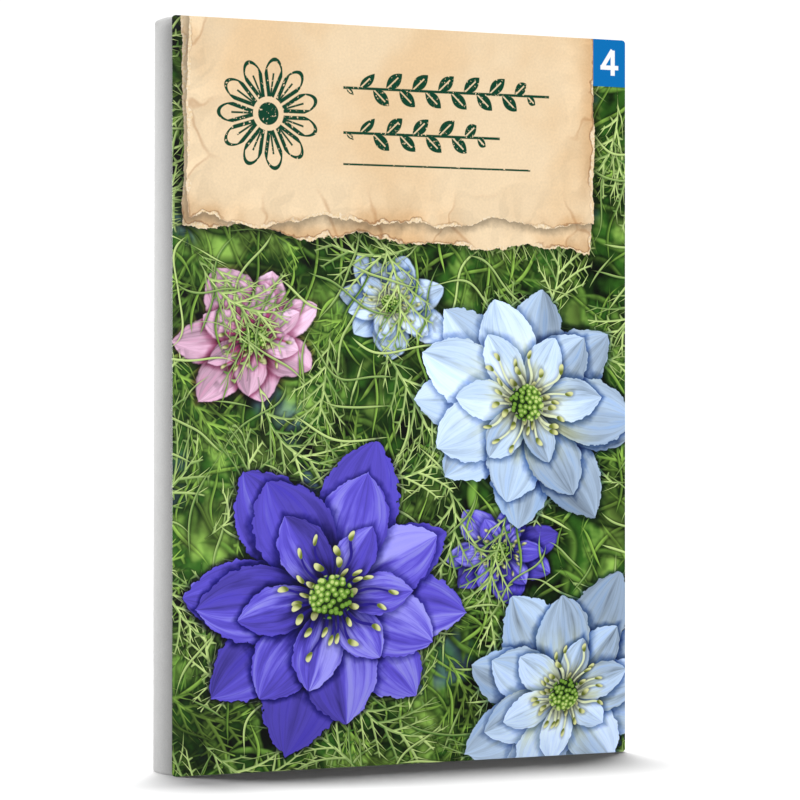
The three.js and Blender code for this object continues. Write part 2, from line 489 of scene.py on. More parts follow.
@layer(radius="Float", turn="Float", tip="Color", throat="Color", vein="Color", side="Float",
       petals="Float", reach="Float", width="Float", point="Float", phase="Float", seed="Float",
       light="Float", blur="Float")
def petal(picture, at, radius, turn, tip, throat, vein, side, petals, reach, width, point,
          phase, seed, light, blur):
    """Draws one of the two petals that are nearest, in a ring of them."""
    finish = at.finish
    rho, theta, ragged = at.parts()
    number = whole(theta * petals + phase) + side
    key = number.math("FLOORED_MODULO", number, petals)
    swing, growth, tone = dice(finish, key, seed, turn)
    axis = (number - phase + (swing - 0.5) * PETAL["swing"]) / petals
    angle = (theta - axis) * FULL_TURN
    length = (growth * 0.3 + 0.85) * reach
    out = rho / length
    u = out * cosine(angle)
    v = out * sine(angle)
    beyond = higher(u - 1, 0.0)
    half = (u ** PETAL["throat"]) * (higher(1 - u, 0.0) ** point) * width + 0.0001
    nibble = ragged * ease(u, 0.15, 0.7)
    edge = (half - abs(v) - beyond + nibble) * radius * length
    mask = ease(edge, -blur, blur)
    sun = cosine((axis + turn - PETAL["sun"]) * FULL_TURN)
    shadow = ease(edge, -PETAL["shadow"], 0.3) * (0.82 - sun * 0.18)
    x = v / half
    streak = mottle(joined(finish, x * 3.2 + key * 5.3, u * 1.7 + seed), 1.0, 4.0)
    comb = abs(fraction(x * PETAL["veins"] + streak * 1.4) - 0.5)
    crease = ease(abs(x), PETAL["crease"], 0.0)
    glow = streak * 1.1 + 0.4 + (ease(x, -0.25, 0.25) - 0.5) * (tone - 0.35) * 0.8 + sun * 0.18
    glow = glow - crease * 0.12 - ease(comb, 0.14, 0.02) * 0.1
    glow = glow * (ease(u, -0.1, 0.45) * 0.4 + 0.6) * (swing * 0.42 + 0.78) * light
    colour = over(throat, tip, ease(u + (streak - 0.5) * 0.6, 0.12, 0.72))
    colour = over(colour, vein, ease(streak, 0.5, 0.75) * 0.5)
    colour = over(dimmed(colour, glow), ink(SHEEN), ease(glow, 0.9, 1.5) * 0.32)
    picture = tinted(dimmed(picture, 1 - shadow * 0.48), vein, shadow)
    return over(picture, colour, mask)


# %% A bloom's heart, in parts of the bloom's radius
STALK, ANTHER = 0.0085, 0.026
BOSS = {"radius": 0.138, "beads": 26.0}


@layer(turn="Float", stalk="Color", count="Float", reach="Float", blur="Float")
def stamens(picture, at, turn, stalk, count, reach, blur):
    """A ring of thin stalks, each with an anther at its end."""
    finish = at.finish
    rho, theta, _ = at.parts()
    step = theta * count + sine(rho * 17.0 + theta * (3 * FULL_TURN)) * 0.22
    number = whole(step)
    key = number.math("FLOORED_MODULO", number, count)
    roll, nudge, _ = dice(finish, key, count, turn)
    off = (step - number - 0.5 + (nudge - 0.5) * 0.4) * rho * FULL_TURN / count
    end = (roll * 0.7 + 0.65) * reach
    line = lower(STALK - abs(off), end - rho)
    ahead = rho - end
    anther = ANTHER - (off * off * 2.2 + ahead * ahead * 0.6) ** 0.5
    picture = dimmed(picture, 1 - ease(higher(line, anther), -0.03, 0.0) * 0.4)
    picture = over(picture, stalk, ease(line, -blur, blur))
    pollen = over(ink("6d7a2a"), ink("dfe3a0"), ease(off + ahead, -0.02, 0.02))
    return over(picture, pollen, ease(anther, -blur, blur))


@layer()
def boss(picture, at):
    """The domed cluster of green beads in the middle of a bloom, in its own shade."""
    finish = at.finish
    rho, theta, _ = at.parts()
    angle = theta * FULL_TURN
    x, z = rho * cosine(angle), rho * sine(angle)
    flat = joined(finish, x, z)
    bead = finish.node(
        "ShaderNodeTexVoronoi",
        {"voronoi_dimensions": "2D", "feature": "F1"},
        {"Vector": flat, "Scale": BOSS["beads"], "Randomness": 0.75},
    )
    glow = ease(bead, 0.75, 0.05) + (z - x) * 1.6
    green = over(ink("14290b"), ink("6f9a35"), ease(glow, 0.1, 0.55))
    green = over(green, ink("c8dc84"), ease(glow, 0.68, 1.1))
    edge = BOSS["radius"] - rho - ease(bead, 0.3, 0.8) * 0.03
    picture = dimmed(picture, 1 - ease(edge, -0.09, 0.0) * 0.55)
    return over(picture, green, ease(edge, -0.006, 0.006))


# %% A whole set of blooms
def ring(**numbers):
    return numbers


OUTER = ring(petals=8.0, reach=0.94, width=1.02, point=0.86, phase=0.0, seed=11.0, light=0.92)
MIDDLE = ring(petals=7.0, reach=0.76, width=1.12, point=0.84, phase=0.35, seed=23.0, light=1.04)
INNER = ring(petals=6.0, reach=0.53, width=1.04, point=0.86, phase=0.7, seed=37.0, light=1.13)
STAMEN_RINGS = ((17.0, 0.3), (13.0, 0.2))
RAGGED = {"size": 2.2, "depth": 0.07}


def add_blooms(collage, blooms, rings, blur):
    """Draws a set of blooms over the collage, each in the part of the card that is nearest to it."""
    at, finish = collage.at, collage.at.finish
    x, z, _ = at.parts()
    _, (place, setting), (tip, throat, vein) = nearest_bloom(finish, x, z, blooms)
    cx, cz, radius = place.parts()
    turn, squash, lean = setting.parts()
    dx, dz = (x - cx) / radius, (z - cz) / radius
    along = dx * cosine(lean) + dz * sine(lean)
    across = (dz * cosine(lean) - dx * sine(lean)) / squash
    rho = (along * along + across * across) ** 0.5
    theta = fraction(across.math("ARCTAN2", across, along) * (1 / FULL_TURN) + turn)
    ragged = (mottle(at, RAGGED["size"], 2.0, 5) - 0.5) * RAGGED["depth"]
    bloom = Collage(collage.picture, joined(finish, rho, theta, ragged))
    colours = {"tip": tip, "throat": throat, "vein": vein}
    for numbers in rings:
        for side in (0.0, 1.0):
            bloom.lay(petal, radius=radius, turn=turn, side=side, blur=blur, **colours, **numbers)
    bloom.picture = dimmed(bloom.picture, 1 - ease(rho, 0.3, 0.08) * 0.6)
    for count, reach in STAMEN_RINGS:
        bloom.lay(stamens, turn=turn, stalk=throat, count=count, reach=reach, blur=blur / radius)
    bloom.lay(boss)
    collage.picture = bloom.picture
    collage.at = at.vector("MULTIPLY_ADD", bloom.picture, TOUCH, at)


# %% [markdown]
# ## The header of torn kraft paper
#
# The header is two sheets that are torn at the foot and at both sides, the lower one showing
# a little below the upper. A torn edge is a straight one that noise pushes in and out, once
# in long waves and once in small nicks. The same distance from the edge then gives the pale
# torn rim, the scorched line where the sheet begins, the shading of its curl, and the shadow
# on the meadow below. Handled paper is crumpled too: cells of two sizes are its facets, and
# how fast a place leaves the nearest crease tells which way its facet leans. The ornaments
# are simple shapes in one dark green ink, worn by noise as a stamp's print is.

# %% Torn sheets
WAVES = {"size": 15.0, "foot": 7.0, "side": 1.6}
NICKS = {"size": 2.1, "foot": 1.9, "side": 0.9}
FACETS = {"large": 24.0, "small": 8.0}
KRAFT = {"light": "f3dab5", "dark": "edcda2", "stain": "c9965c", "crease": "a76d38"}
RIM = {"light": "f6e3c6", "dark": "ecd0a4", "scorch": "8a5426"}


def torn_edge(at, low, slope, left, right, seed):
    """How far inside a sheet a place is, in millimetres: from its torn foot and its two sides."""
    x, z, _ = at.parts()
    along = joined(at.finish, x + seed, z)
    waves = mottle(along, WAVES["size"], 1.0, 6) - 0.5
    nicks = mottle(along, NICKS["size"], 3.0, 7, 0.6) - 0.5
    foot = z - low - x * slope + waves * WAVES["foot"] + nicks * NICKS["foot"]
    sides = lower(x - left, right - x) + waves * WAVES["side"] + nicks * NICKS["side"]
    return lower(foot, sides)


def to_crease(at, size):
    """How far the nearest crease is, in millimetres, on paper crumpled into facets of `size`."""
    kind = {"voronoi_dimensions": "2D", "feature": "DISTANCE_TO_EDGE"}
    return at.finish.node("ShaderNodeTexVoronoi", kind, {"Vector": at, "Scale": 1 / size}) * size


@recipe("Color", at="Vector", edge="Float")
def kraft(at, edge):
    """The colour of a sheet of kraft paper, `edge` millimetres from where it is torn."""
    cloud = mottle(at, 26.0, 3.0, 2)
    speck = mottle(at, 0.55, 2.0, 3)
    warp = mottle(at, 9.0, 2.0, 4) * 7.0
    bent = at.vector("ADD", at, joined(at.finish, warp, -warp))
    beside = bent.vector("ADD", bent, (-0.5, 0.5, 0.0))
    handled = ease(edge, 13.0, 1.0) * 0.8 + 0.2
    large, small = to_crease(bent, FACETS["large"]), to_crease(bent, FACETS["small"])
    slope = to_crease(beside, FACETS["large"]) - large
    slope = slope * 0.08 + (to_crease(beside, FACETS["small"]) - small) * 0.07
    body = over(ink(KRAFT["dark"]), ink(KRAFT["light"]), ease(cloud, 0.3, 0.65))
    body = over(body, ink(KRAFT["stain"]), ease(edge, 5.0, 0.3) * ease(cloud, 0.58, 0.42) * 0.45)
    body = dimmed(body, slope * handled + 1.0)
    body = over(body, ink(KRAFT["crease"]), ease(large, 0.7, 0.0) * ease(edge, 9.0, 2.0) * 0.4)
    body = dimmed(body, (speck - 0.5) * 0.16 + 0.98)
    inside = edge - ease(mottle(at, 5.0, 2.0, 5), 0.35, 0.7) * 1.1 - 0.15
    rim = over(ink(RIM["light"]), ink(RIM["dark"]), ease(speck, 0.35, 0.65))
    scorch = ease(abs(inside), 0.4, 0.0) * ease(cloud, 0.6, 0.42)
    sheet = over(rim, body, ease(inside, -0.12, 0.12))
    return over(sheet, ink(RIM["scorch"]), scorch * 0.7)


@layer(edge="Float", sheet="Color")
def laid_sheet(picture, at, edge, sheet):
    """Lays a torn sheet over the picture, with the shadow that it throws."""
    shadow = ease(edge, -3.2, 0.6)
    return over(dimmed(picture, 1 - shadow * 0.62), sheet, ease(edge, -0.09, 0.09))


# %% Shapes for the ornaments
def bar(x, z, centre, half, angle=0.0):
    """How far inside a straight bar a place is, in millimetres."""
    c, s = math.cos(math.radians(angle)), math.sin(math.radians(angle))
    dx, dz = x - centre[0], z - centre[1]
    along = abs(dx * c + dz * s)
    across = abs(dz * c - dx * s)
    return lower(half[0] - along, half[1] - across)


LEAF = {"slope": math.radians(42), "width": 1.08, "rib": 0.16, "root": 0.12}
HALF_STEM = 0.3


def leaf_row(x, z, start, end, period, tall):
    """How far inside a stem with leaves on alternate sides a place is, in millimetres."""
    fullness = ease(x, start, start + period * 1.5) * ease(x, end, end - period * 1.5)
    size = fullness * (tall * 0.85) + tall * 0.4
    step = (x - start) / period + above(z, 0.0) * 0.5
    ahead = (fraction(step) - LEAF["root"]) * period
    cos, sin = math.cos(LEAF["slope"]), math.sin(LEAF["slope"])
    rise = abs(z)
    along = (ahead * cos + rise * sin) / size
    across = rise * cos - ahead * sin
    leaf = along * (1 - along) * size * LEAF["width"] - abs(across)
    rib = abs(across) - LEAF["rib"] + ease(along, 0.75, 0.8) * 2
    place = whole(step) - above(z, 0.0) * 0.5
    inside = lower(place + 0.4, (end - start) / period - 0.6 - place)
    stem = lower(HALF_STEM - rise, lower(x - start, end - x))
    return higher(lower(lower(leaf, rib), inside), stem)


PEN = {"outline": 0.45, "vein": 0.22, "slit": 0.28}


def open_blossom(x, z, radius, petals):
    """How far inside a drawn blossom a place is: outlined petals round an open eye."""
    rho = (x * x + z * z) ** 0.5
    theta = z.math("ARCTAN2", z, x) * (1 / FULL_TURN)
    lobe = abs(fraction(theta * petals) - 0.5)
    outside = radius - lobe * lobe * (radius * 1.5) - rho
    slit = rho * (0.5 - lobe) * (FULL_TURN / petals) - PEN["slit"]
    leaf = lower(lower(outside, slit), rho - radius * 0.3)
    line = PEN["outline"] - abs(leaf - PEN["outline"])
    vein = lower(PEN["vein"] - abs(rho * lobe * (FULL_TURN / petals)), radius * 0.72 - rho)
    eye = lower(radius * 0.2 - rho, 1.0)
    return higher(higher(line, lower(vein, rho - radius * 0.36)), eye)


# %% The ornaments and the tab
PRINTED_ROWS = (
    (151.0, {"start": -16.0, "end": 37.0, "period": 6.625, "tall": 4.4}),
    (141.0, {"start": -16.0, "end": 24.0, "period": 6.667, "tall": 4.4}),
)
RULE = ((8.0, 134.0), (24.0, 0.22))
BLOSSOM = {"x": -34.5, "z": 144.5, "radius": 12.5, "petals": 11.0}
TAB = {"centre": (53.2, 159.6), "half": (4.4, 5.5)}
STROKES_OF_4 = (
    ((0.9, 0.0), (0.55, 2.9), 0.0),
    ((0.0, -1.1), (2.4, 0.5), 0.0),
    ((-0.55, 0.95), (2.45, 0.5), 56.0),
)
INK, TAB_BLUE, WHITE = "04402a", "0271b9", "ffffff"


def together(shapes):
    """How far inside any of several shapes a place is."""
    first, *others = shapes
    for shape in others:
        first = higher(first, shape)
    return first


@layer()
def ornaments(picture, at):
    """Leafy rows, a rule and a blossom in dark green ink, a little worn."""
    x, z, _ = at.parts()
    shapes = [leaf_row(x, z - at_z, **row) for at_z, row in PRINTED_ROWS]
    shapes.append(bar(x, z, *RULE))
    shapes.append(open_blossom(x - BLOSSOM["x"], z - BLOSSOM["z"], BLOSSOM["radius"], BLOSSOM["petals"]))
    wear = ease(mottle(at, 0.7, 2.0, 40), 0.76, 0.64)
    return over(picture, ink(INK), ease(together(shapes), -0.09, 0.09) * wear)


@layer()
def numbered_tab(picture, at):
    """A blue tab with a plain number."""
    x, z, _ = at.parts()
    dx, dz = x - TAB["centre"][0], z - TAB["centre"][1]
    tab = lower(TAB["half"][0] - abs(dx), TAB["half"][1] - abs(dz))
    picture = over(picture, ink(TAB_BLUE), ease(tab, -0.08, 0.08))
    four = together([bar(dx, dz, *stroke) for stroke in STROKES_OF_4])
    return over(picture, ink(WHITE), ease(four, -0.08, 0.08))


# %% [markdown]
# ## Composing the print
#
# The blooms, their sizes and their colours are one table, in millimetres on the card, so the
# picture can be rearranged by editing it. No two blooms of one set overlap, since a place
# draws only the bloom that it is nearest to. The foliage is a second table: its kind, the
# size of its squares or lanes, its angle, its greens, its thickness and its blur.

# %% The print's plan
VIOLET = {"tip": "6457dc", "throat": "271c86", "vein": "372ab2"}
PALE = {"tip": "c3dcfa", "throat": "e6f0c4", "vein": "6d9ad6"}
PINK = {"tip": "eec0dc", "throat": "bc3c78", "vein": "d27aa6"}
NEAR_BLOOMS = [
    {"centre": (-19.0, 38.0), "radius": 40.0, "turn": 0.06, "squash": 0.88, "lean": 0.2, **VIOLET},
    {"centre": (31.0, 81.0), "radius": 34.0, "turn": 0.31, "squash": 0.9, "lean": -0.5, **PALE},
    {"centre": (41.0, 14.0), "radius": 31.0, "turn": 0.77, "squash": 0.84, "lean": 0.6, **PALE},
]
FAR_BLOOMS = [
    {"centre": (-38.0, 95.0), "radius": 26.0, "turn": 0.52, "squash": 0.8, "lean": 0.4, **PINK},
    {"centre": (-4.0, 103.0), "radius": 20.0, "turn": 0.14, "squash": 0.78, "lean": -0.3, **PALE},
    {"centre": (24.0, 47.0), "radius": 20.0, "turn": 0.9, "squash": 0.8, "lean": 0.1, **VIOLET},
]
FAR = {"light": ink("84b64a"), "dark": ink("0e2a07")}
MID = {"light": ink("a8d65c"), "dark": ink("18420d")}
NEAR = {"light": ink("daf29a"), "dark": ink("386e20")}
BEHIND = [
    (threads, 9.0, 78, FAR, 1.1, 0.6),
    (threads, 7.0, 14, FAR, 0.6, 0.35),
    (sprigs, 34.0, 25, FAR, 0.4, 0.25),
    (threads, 6.0, -38, MID, 0.4, 0.15),
    (sprigs, 30.0, 63, MID, 0.34, 0.14),
    (threads, 6.5, 47, MID, 0.36, 0.12),
]
BETWEEN = [
    (threads, 6.4, 95, MID, 0.3, 0.1),
    (sprigs, 33.0, -20, NEAR, 0.27, 0.08),
    (threads, 7.0, -62, NEAR, 0.25, 0.08),
    (sprigs, 29.0, 41, NEAR, 0.25, 0.08),
    (threads, 7.5, 22, NEAR, 0.25, 0.08),
]
LOWER_SHEET = {"low": 117.0, "slope": -0.045, "left": -55.2, "right": 48.0, "seed": 20.0}
UPPER_SHEET = {"low": 121.5, "slope": 0.02, "left": -53.9, "right": 48.9, "seed": 30.0}
TORN_FROM = 106.0
UNTORN = {"low": 140.0, "left": -39.0, "right": 34.0}
FAR_FROM_TEARS = 20.0
GREENERY = {"depth": "030b02", "leaf": "34651d", "bright": "96c256", "sky": "7fa3c6"}


# %% The picture's parts
def add_foliage(collage, plan):
    for seed, (kind, size, degrees, colours, thick, blur) in enumerate(plan, start=10 * len(plan)):
        placing = {"size": size, "angle": math.radians(degrees), "seed": float(seed)}
        collage.lay(kind, thick=thick, blur=blur, **placing, **colours)


def ground(at):
    """The blurred depths of the meadow."""
    depth = mottle(at, 16.0, 3.0, 1) * 0.7 + mottle(at, 5.0, 2.0, 2) * 0.3
    picture = over(ink(GREENERY["depth"]), ink(GREENERY["leaf"]), ease(depth, 0.34, 0.52))
    picture = over(picture, ink(GREENERY["bright"]), ease(depth, 0.52, 0.66))
    return over(picture, ink(GREENERY["sky"]), ease(mottle(at, 21.0, 1.0, 9), 0.62, 0.78) * 0.6)


def add_hollows(collage):
    """Lets the foliage laid so far sink into patches of shade."""
    shade = ease(mottle(collage.at, 13.0, 3.0, 17), 0.55, 0.4)
    collage.picture = dimmed(collage.picture, 1 - shade * 0.6)


def add_sheets(collage):
    for sheet in (LOWER_SHEET, UPPER_SHEET):
        edge = torn_edge(collage.at, **sheet)
        colour = kraft(collage.at.finish, at=collage.at, edge=edge)
        collage.lay(laid_sheet, edge=edge, sheet=colour)


# %% [markdown]
# The renderer leaves out the nodes of a shader whose share in a mix is exactly 0. So the card
# is not one long sum but several shaders, and each place works out only its own: kraft paper
# and ornaments in the middle of the header, torn sheets round it, the near blooms close to a
# near bloom, and so on. Where two of them meet they give the same colour, so no line shows.

# %% The printed card
def card_shader(picture, surface):
    return picture.finish.node("ShaderNodeBsdfPrincipled", {}, {"Base Color": picture, **surface})


def split(share, elsewhere, there):
    return share.finish.node("ShaderNodeMixShader", {}, {0: share, 1: elsewhere, 2: there})


def meadow_shader(at, surface, far_blooms):
    """The card below the header and round its torn edge."""
    collage = Collage(ground(at), at)
    add_foliage(collage, BEHIND)
    add_hollows(collage)
    if far_blooms:
        add_blooms(collage, FAR_BLOOMS, (MIDDLE, INNER), 0.3)
    add_foliage(collage, BETWEEN)
    plain = card_shader(collage.picture, surface)
    add_blooms(collage, NEAR_BLOOMS, (OUTER, MIDDLE, INNER), 0.1)
    flowery = card_shader(collage.picture, surface)
    add_sheets(collage)
    collage.lay(ornaments)
    collage.lay(numbered_tab)
    torn = card_shader(collage.picture, surface)
    _, z, _ = at.parts()
    edge_zone = above(z, TORN_FROM)
    return split(higher(within_reach(at, NEAR_BLOOMS), edge_zone), plain, split(edge_zone, flowery, torn))


def printed_card():
    material, finish = new_material("printed_card")
    x, _, z = in_millimetres(finish).parts()
    at = joined(finish, x, z)
    tooth = mottle(at, 0.5, 2.0, 50)
    surface = {
        "Roughness": tooth * 0.1 + 0.33,
        "Specular IOR Level": 0.08,
        "Normal": bumped(tooth, 0.08, 0.0001),
    }
    header = Collage(kraft(finish, at=at, edge=FAR_FROM_TEARS), at)
    header.lay(ornaments)
    untorn = above(lower(lower(x - UNTORN["left"], UNTORN["right"] - x), z - UNTORN["low"]), 0.0)
    meadow = split(
        within_reach(at, FAR_BLOOMS),
        meadow_shader(at, surface, far_blooms=False),
        meadow_shader(at, surface, far_blooms=True),
    )
    whole_card = split(untorn, meadow, card_shader(header.picture, surface))
    finish.node("ShaderNodeOutputMaterial", {}, {0: whole_card})
    print(f"{material.name}: {len(finish.tree.nodes)} nodes")
    return material


card_finish = printed_card()

# %% [markdown]
# ## White paper
#
# The body is one sheet of uncoated white paper. Such paper is never quite white: it is a felt
# of fibres, a little darker and lighter from place to place, and its surface scatters light
# evenly. The back carries a small plain print in two greens: a row of twelve month squares
# with the sowing and the flowering months filled, a depth gauge and a few leafy rows. The
# finish is made twice, with that print and without, since only the back's outside is printed.

# %% Paper fibres
def mottle3(at, size, detail):
    """Noise through the whole solid, which runs on round a fold."""
    sockets = {"Vector": at, "Scale": 1 / size, "Detail": detail}
    return at.finish.node("ShaderNodeTexNoise", {"noise_dimensions": "3D"}, sockets)


def fibres(at):
    """Fine felted fibres, from 0 to 1."""
    return mottle3(at, 0.35, 2.0) * 0.6 + mottle3(at, 2.4, 3.0) * 0.4


# %% The print on the back
SQUARES = {"count": 12, "size": 4.6, "pitch": 5.6, "left": -33.6, "z": 118.0, "line": 0.16}
SOWING, FLOWERING = (3, 4, 5, 9), (6, 7, 8)
BACK_RULE = ((0.0, 110.0), (33.5, 0.14))
GAUGE = {"x": -30.0, "half": (0.35, 7.0), "low": 90.0, "pitch": 3, "notches": 5, "notch": (1.8, 0.16)}
SPROUT = {"x": -22.0, "row": {"start": 0.0, "end": 14.0, "period": 4.5, "tall": 3.0}}
BACK_ROWS = {"z": 101.0, "pitch": 6.5, "ends": (31.0, 24.0, 29.0)}
BACK_ROW = {"start": -12.0, "period": 3.9, "tall": 2.2}
LEAF_GREEN, MOSS = "2f6a3c", "9dbb6a"


def back_print(paper, at):
    """Month squares, a depth gauge and leafy rows, seen from the back with +X to the left."""
    x, _, z = at.parts()
    x = -x
    step = (x - SQUARES["left"]) * (1 / SQUARES["pitch"])
    month = whole(step)
    dx, dz = abs(fraction(step) - 0.5) * SQUARES["pitch"], abs(z - SQUARES["z"])
    half = SQUARES["size"] / 2
    square = lower(half - dx, half - dz)
    outline = SQUARES["line"] - abs(square - SQUARES["line"])
    within = lower(month + 0.5, SQUARES["count"] - 0.5 - month)
    printed = paper
    for months, colour in ((SOWING, LEAF_GREEN), (FLOWERING, MOSS)):
        for number in months:
            filled = lower(square - 0.45, 0.5 - abs(month - (number - 1)))
            printed = over(printed, ink(colour), ease(filled, -0.06, 0.06))
    middle = GAUGE["low"] + GAUGE["pitch"] * (GAUGE["notches"] - 1) / 2
    lines = [lower(outline, within), bar(x, z, *BACK_RULE), bar(x, z, (GAUGE["x"], middle), GAUGE["half"])]
    for notch in range(GAUGE["notches"]):
        at_x, at_z = GAUGE["x"] + GAUGE["notch"][0], GAUGE["low"] + GAUGE["pitch"] * notch
        lines.append(bar(x, z, (at_x, at_z), GAUGE["notch"]))
    lines.append(leaf_row(z - GAUGE["low"], x - SPROUT["x"], **SPROUT["row"]))
    for row, end in enumerate(BACK_ROWS["ends"]):
        lines.append(leaf_row(x, z - BACK_ROWS["z"] + BACK_ROWS["pitch"] * row, end=end, **BACK_ROW))
    return over(printed, ink(LEAF_GREEN), ease(together(lines), -0.07, 0.07))


# %% White paper
PAPER_WHITE = {"dark": "dbdbda", "light": "e7e7e6"}


def white_paper(name, printed):
    material, finish = new_material(name)
    at = in_millimetres(finish)
    felt = fibres(at)
    paper = over(ink(PAPER_WHITE["dark"]), ink(PAPER_WHITE["light"]), ease(felt, 0.3, 0.7))
    sockets = {
        "Base Color": back_print(paper, at) if printed else paper,
        "Roughness": felt * 0.12 + 0.66,
        "Specular IOR Level": 0.3,
        "Normal": bumped(felt, 0.25, 0.00012),
    }
    return closed(material, finish, sockets)


paper_finish = white_paper("white_paper", printed=False)
printed_paper_finish = white_paper("printed_paper", printed=True)

# %% [markdown]
# ## The printed front
#
# The front is a flat card, cut with small rounded corners, and its print runs off all four
# edges. A cube is squashed to the card's size, its four short edges are bevelled into
# corners, and cuts across it let it bow back by a tenth of a millimetre, as a glued card
# does. Its back keeps the bare paper.
#
# The print is worked out from the place on the card, so the picture needs no map. But a baked
# copy of it does, so the card brings one of its own: its printed side, with the thin edges
# folded out beside it, fills the left part, and its bare back the right. A map of many small
# islands would leave a hair line in the picture wherever two of them meet.

# %% Helpers for pieces
def meshed(name, shape):
    """A new object in the scene with the mesh that was under construction."""
    mesh = bpy.data.meshes.new(name)
    shape.to_mesh(mesh)
    shape.free()
    return in_scene(name, mesh)


def finished(name, shape, finishes, node, sharp=35.0):
    """Turns a shape in millimetres into a piece that stands for a CAD node."""
    bmesh.ops.scale(shape, vec=(MM, MM, MM), verts=shape.verts)
    for face in shape.faces:
        face.smooth = True
    for edge in shape.edges:
        edge.smooth = not (edge.is_manifold and edge.calc_face_angle() > math.radians(sharp))
    piece = meshed(name, shape)
    for finish in finishes:
        piece.data.materials.append(finish)
    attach(piece, "root")
    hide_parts(node)
    print(f"{name}: {len(piece.data.polygons)} faces")
    return piece


def block(low, high):
    """A closed box between two corners."""
    shape = bmesh.new()
    bmesh.ops.create_cube(shape, size=1.0)
    low, high = Vector(low), Vector(high)
    bmesh.ops.scale(shape, vec=high - low, verts=shape.verts)
    bmesh.ops.translate(shape, vec=(low + high) / 2, verts=shape.verts)
    return shape


def rounded(shape, edges, radius, segments):
    arc = {"offset": radius, "segments": segments, "profile": 0.5, "affect": "EDGES"}
    bmesh.ops.bevel(shape, geom=edges, material=-1, clamp_overlap=True, **arc)


def cut(shape, place, outwards, drop_outside=False):
    """Cuts the whole shape by a plane, and drops what lies outside it if asked."""
    everything = shape.verts[:] + shape.edges[:] + shape.faces[:]
    plane = {"plane_co": place, "plane_no": outwards, "clear_outer": drop_outside}
    bmesh.ops.bisect_plane(shape, geom=everything, dist=1e-5, **plane)


def cut_across(shape, axis, places):
    """Cuts the shape by planes across one axis, so that it can bend there."""
    normal = Vector((0, 0, 0))
    normal[axis] = 1
    for place in places:
        cut(shape, normal * place, normal)


def clipped(share):
    return max(0.0, min(1.0, share))


def steps(low, high, count):
    """Evenly spaced places strictly between low and high."""
    return [low + (high - low) * step / count for step in range(1, count)]


def edges_where(shape, test):
    return [edge for edge in shape.edges if test(*(vert.co for vert in edge.verts))]


def unevenness(x, z, size, seed):
    """Smooth noise from about -1 to 1 over a sheet."""
    return noise.noise(Vector((x / size + seed, z / size - seed, seed * 1.7)))


# %% The card
CARD = {"corner": 0.8, "bow": 0.1, "edge": 0.06, "cuts": (16, 22)}
CARD_MAP = {"print_share": 0.7, "half": 0.49, "margin_x": 0.6, "margin_z": 1.5}


def card_map(place, printed, low, high):
    """Where a point of the card lies on its flat map: print on the left, bare paper on the right."""
    half_x, middle_z = high.x, (low.z + high.z) / 2
    spread = 1 + (place.y - low.y) / half_x if printed else 1.0
    u = 0.5 + CARD_MAP["half"] * place.x * spread / (half_x + CARD_MAP["margin_x"])
    v = 0.5 + CARD_MAP["half"] * (place.z - middle_z) * spread / (middle_z + CARD_MAP["margin_z"])
    share = CARD_MAP["print_share"]
    return (u * share, v) if printed else (share + u * (1 - share), v)


def front_card():
    low, high = panel_low / MM, panel_high / MM
    shape = block(low, high)
    short = edges_where(shape, lambda a, b: abs(a.y - b.y) > 0.1)
    rounded(shape, short, CARD["corner"], 5)
    outline = edges_where(shape, lambda a, b: abs(a.y - b.y) < 0.1)
    rounded(shape, outline, CARD["edge"], 2)
    cuts_x, cuts_z = CARD["cuts"]
    cut_across(shape, 0, steps(low.x, high.x, cuts_x))
    cut_across(shape, 2, steps(low.z, high.z, cuts_z))
    for vert in shape.verts:
        vert.co.y += CARD["bow"] * (0.5 + 0.5 * unevenness(vert.co.x, vert.co.z, 60.0, 3.0))
    shape.normal_update()
    flat_map = shape.loops.layers.uv.new("OFBake")
    for face in shape.faces:
        printed = face.normal.y < 0.5
        face.material_index = 0 if printed else 1
        for loop in face.loops:
            loop[flat_map].uv = card_map(loop.vert.co, printed, low, high)
    finishes = [card_finish, paper_finish]
    return finished("printed_front", shape, finishes, "front_panel", sharp=15.0)


card = front_card()
card.visible_diffuse = False

# %% [markdown]
# ## The folded body
#
# The body is a shallow box of paper, open towards the card except for a rim that is glued to
# it. It starts as a cube. The back's upper and lower edges are bevelled into soft folds and
# the others into crisper ones. Then comes what makes paper look like paper: the sides swell
# out between their folds, turn in towards the card and are pinched flat at the top, the top
# is domed, the body is fullest at its base, where the seeds lie, a lap runs down the back,
# and every face is uneven by a tenth or two of a millimetre. Last the sheet gets its
# thickness, inwards.
#
# Modelling each panel flat and folding it along hinges would be the papermaker's way, but the
# soft folds would then have to be put back, and they are all that one sees.

# %% The sheet's surface
PAPER = 0.5
FLAP_SHEET = 0.25
LIFT = 0.02
FOLD = {"top": 0.8, "bottom": 0.8, "back": 0.5, "foot": 0.25, "crisp": 0.5, "corner": 0.4}
SWELL = {"side": 0.9, "top": 0.85, "turn_in": 0.3, "reach": 0.5, "bag": 0.3}
PINCH = {"share": 1.2, "height": 6.0}
DOME = {"lean": 1.3, "flatness": 0.3, "from_top": 8.0, "rise": 6.0}
SLIMMING = 0.08
RIM = 8.0
SEAM = {"x": 18.0, "lap": 13.0, "step": 0.3, "edge": 0.05}
FLAPS = {"top": 22.0, "bottom": 18.0, "taper": 3.5, "inset": 2.4, "from_card": 1.0}
BODY_LOW = Vector((body_low.x / MM + SWELL["side"], body_low.y / MM, FLAP_SHEET + LIFT))
BACK_LAYERS = FLAP_SHEET + LIFT + SEAM["step"]
BELOW_CARD_TOP = 0.2
BODY_HIGH = Vector((body_high.x / MM - SWELL["side"], body_high.y / MM - BACK_LAYERS,
                    body_high.z / MM - BELOW_CARD_TOP))
NEAR = 0.01
CUTS = {"x": 26, "y": 12, "z": 36}
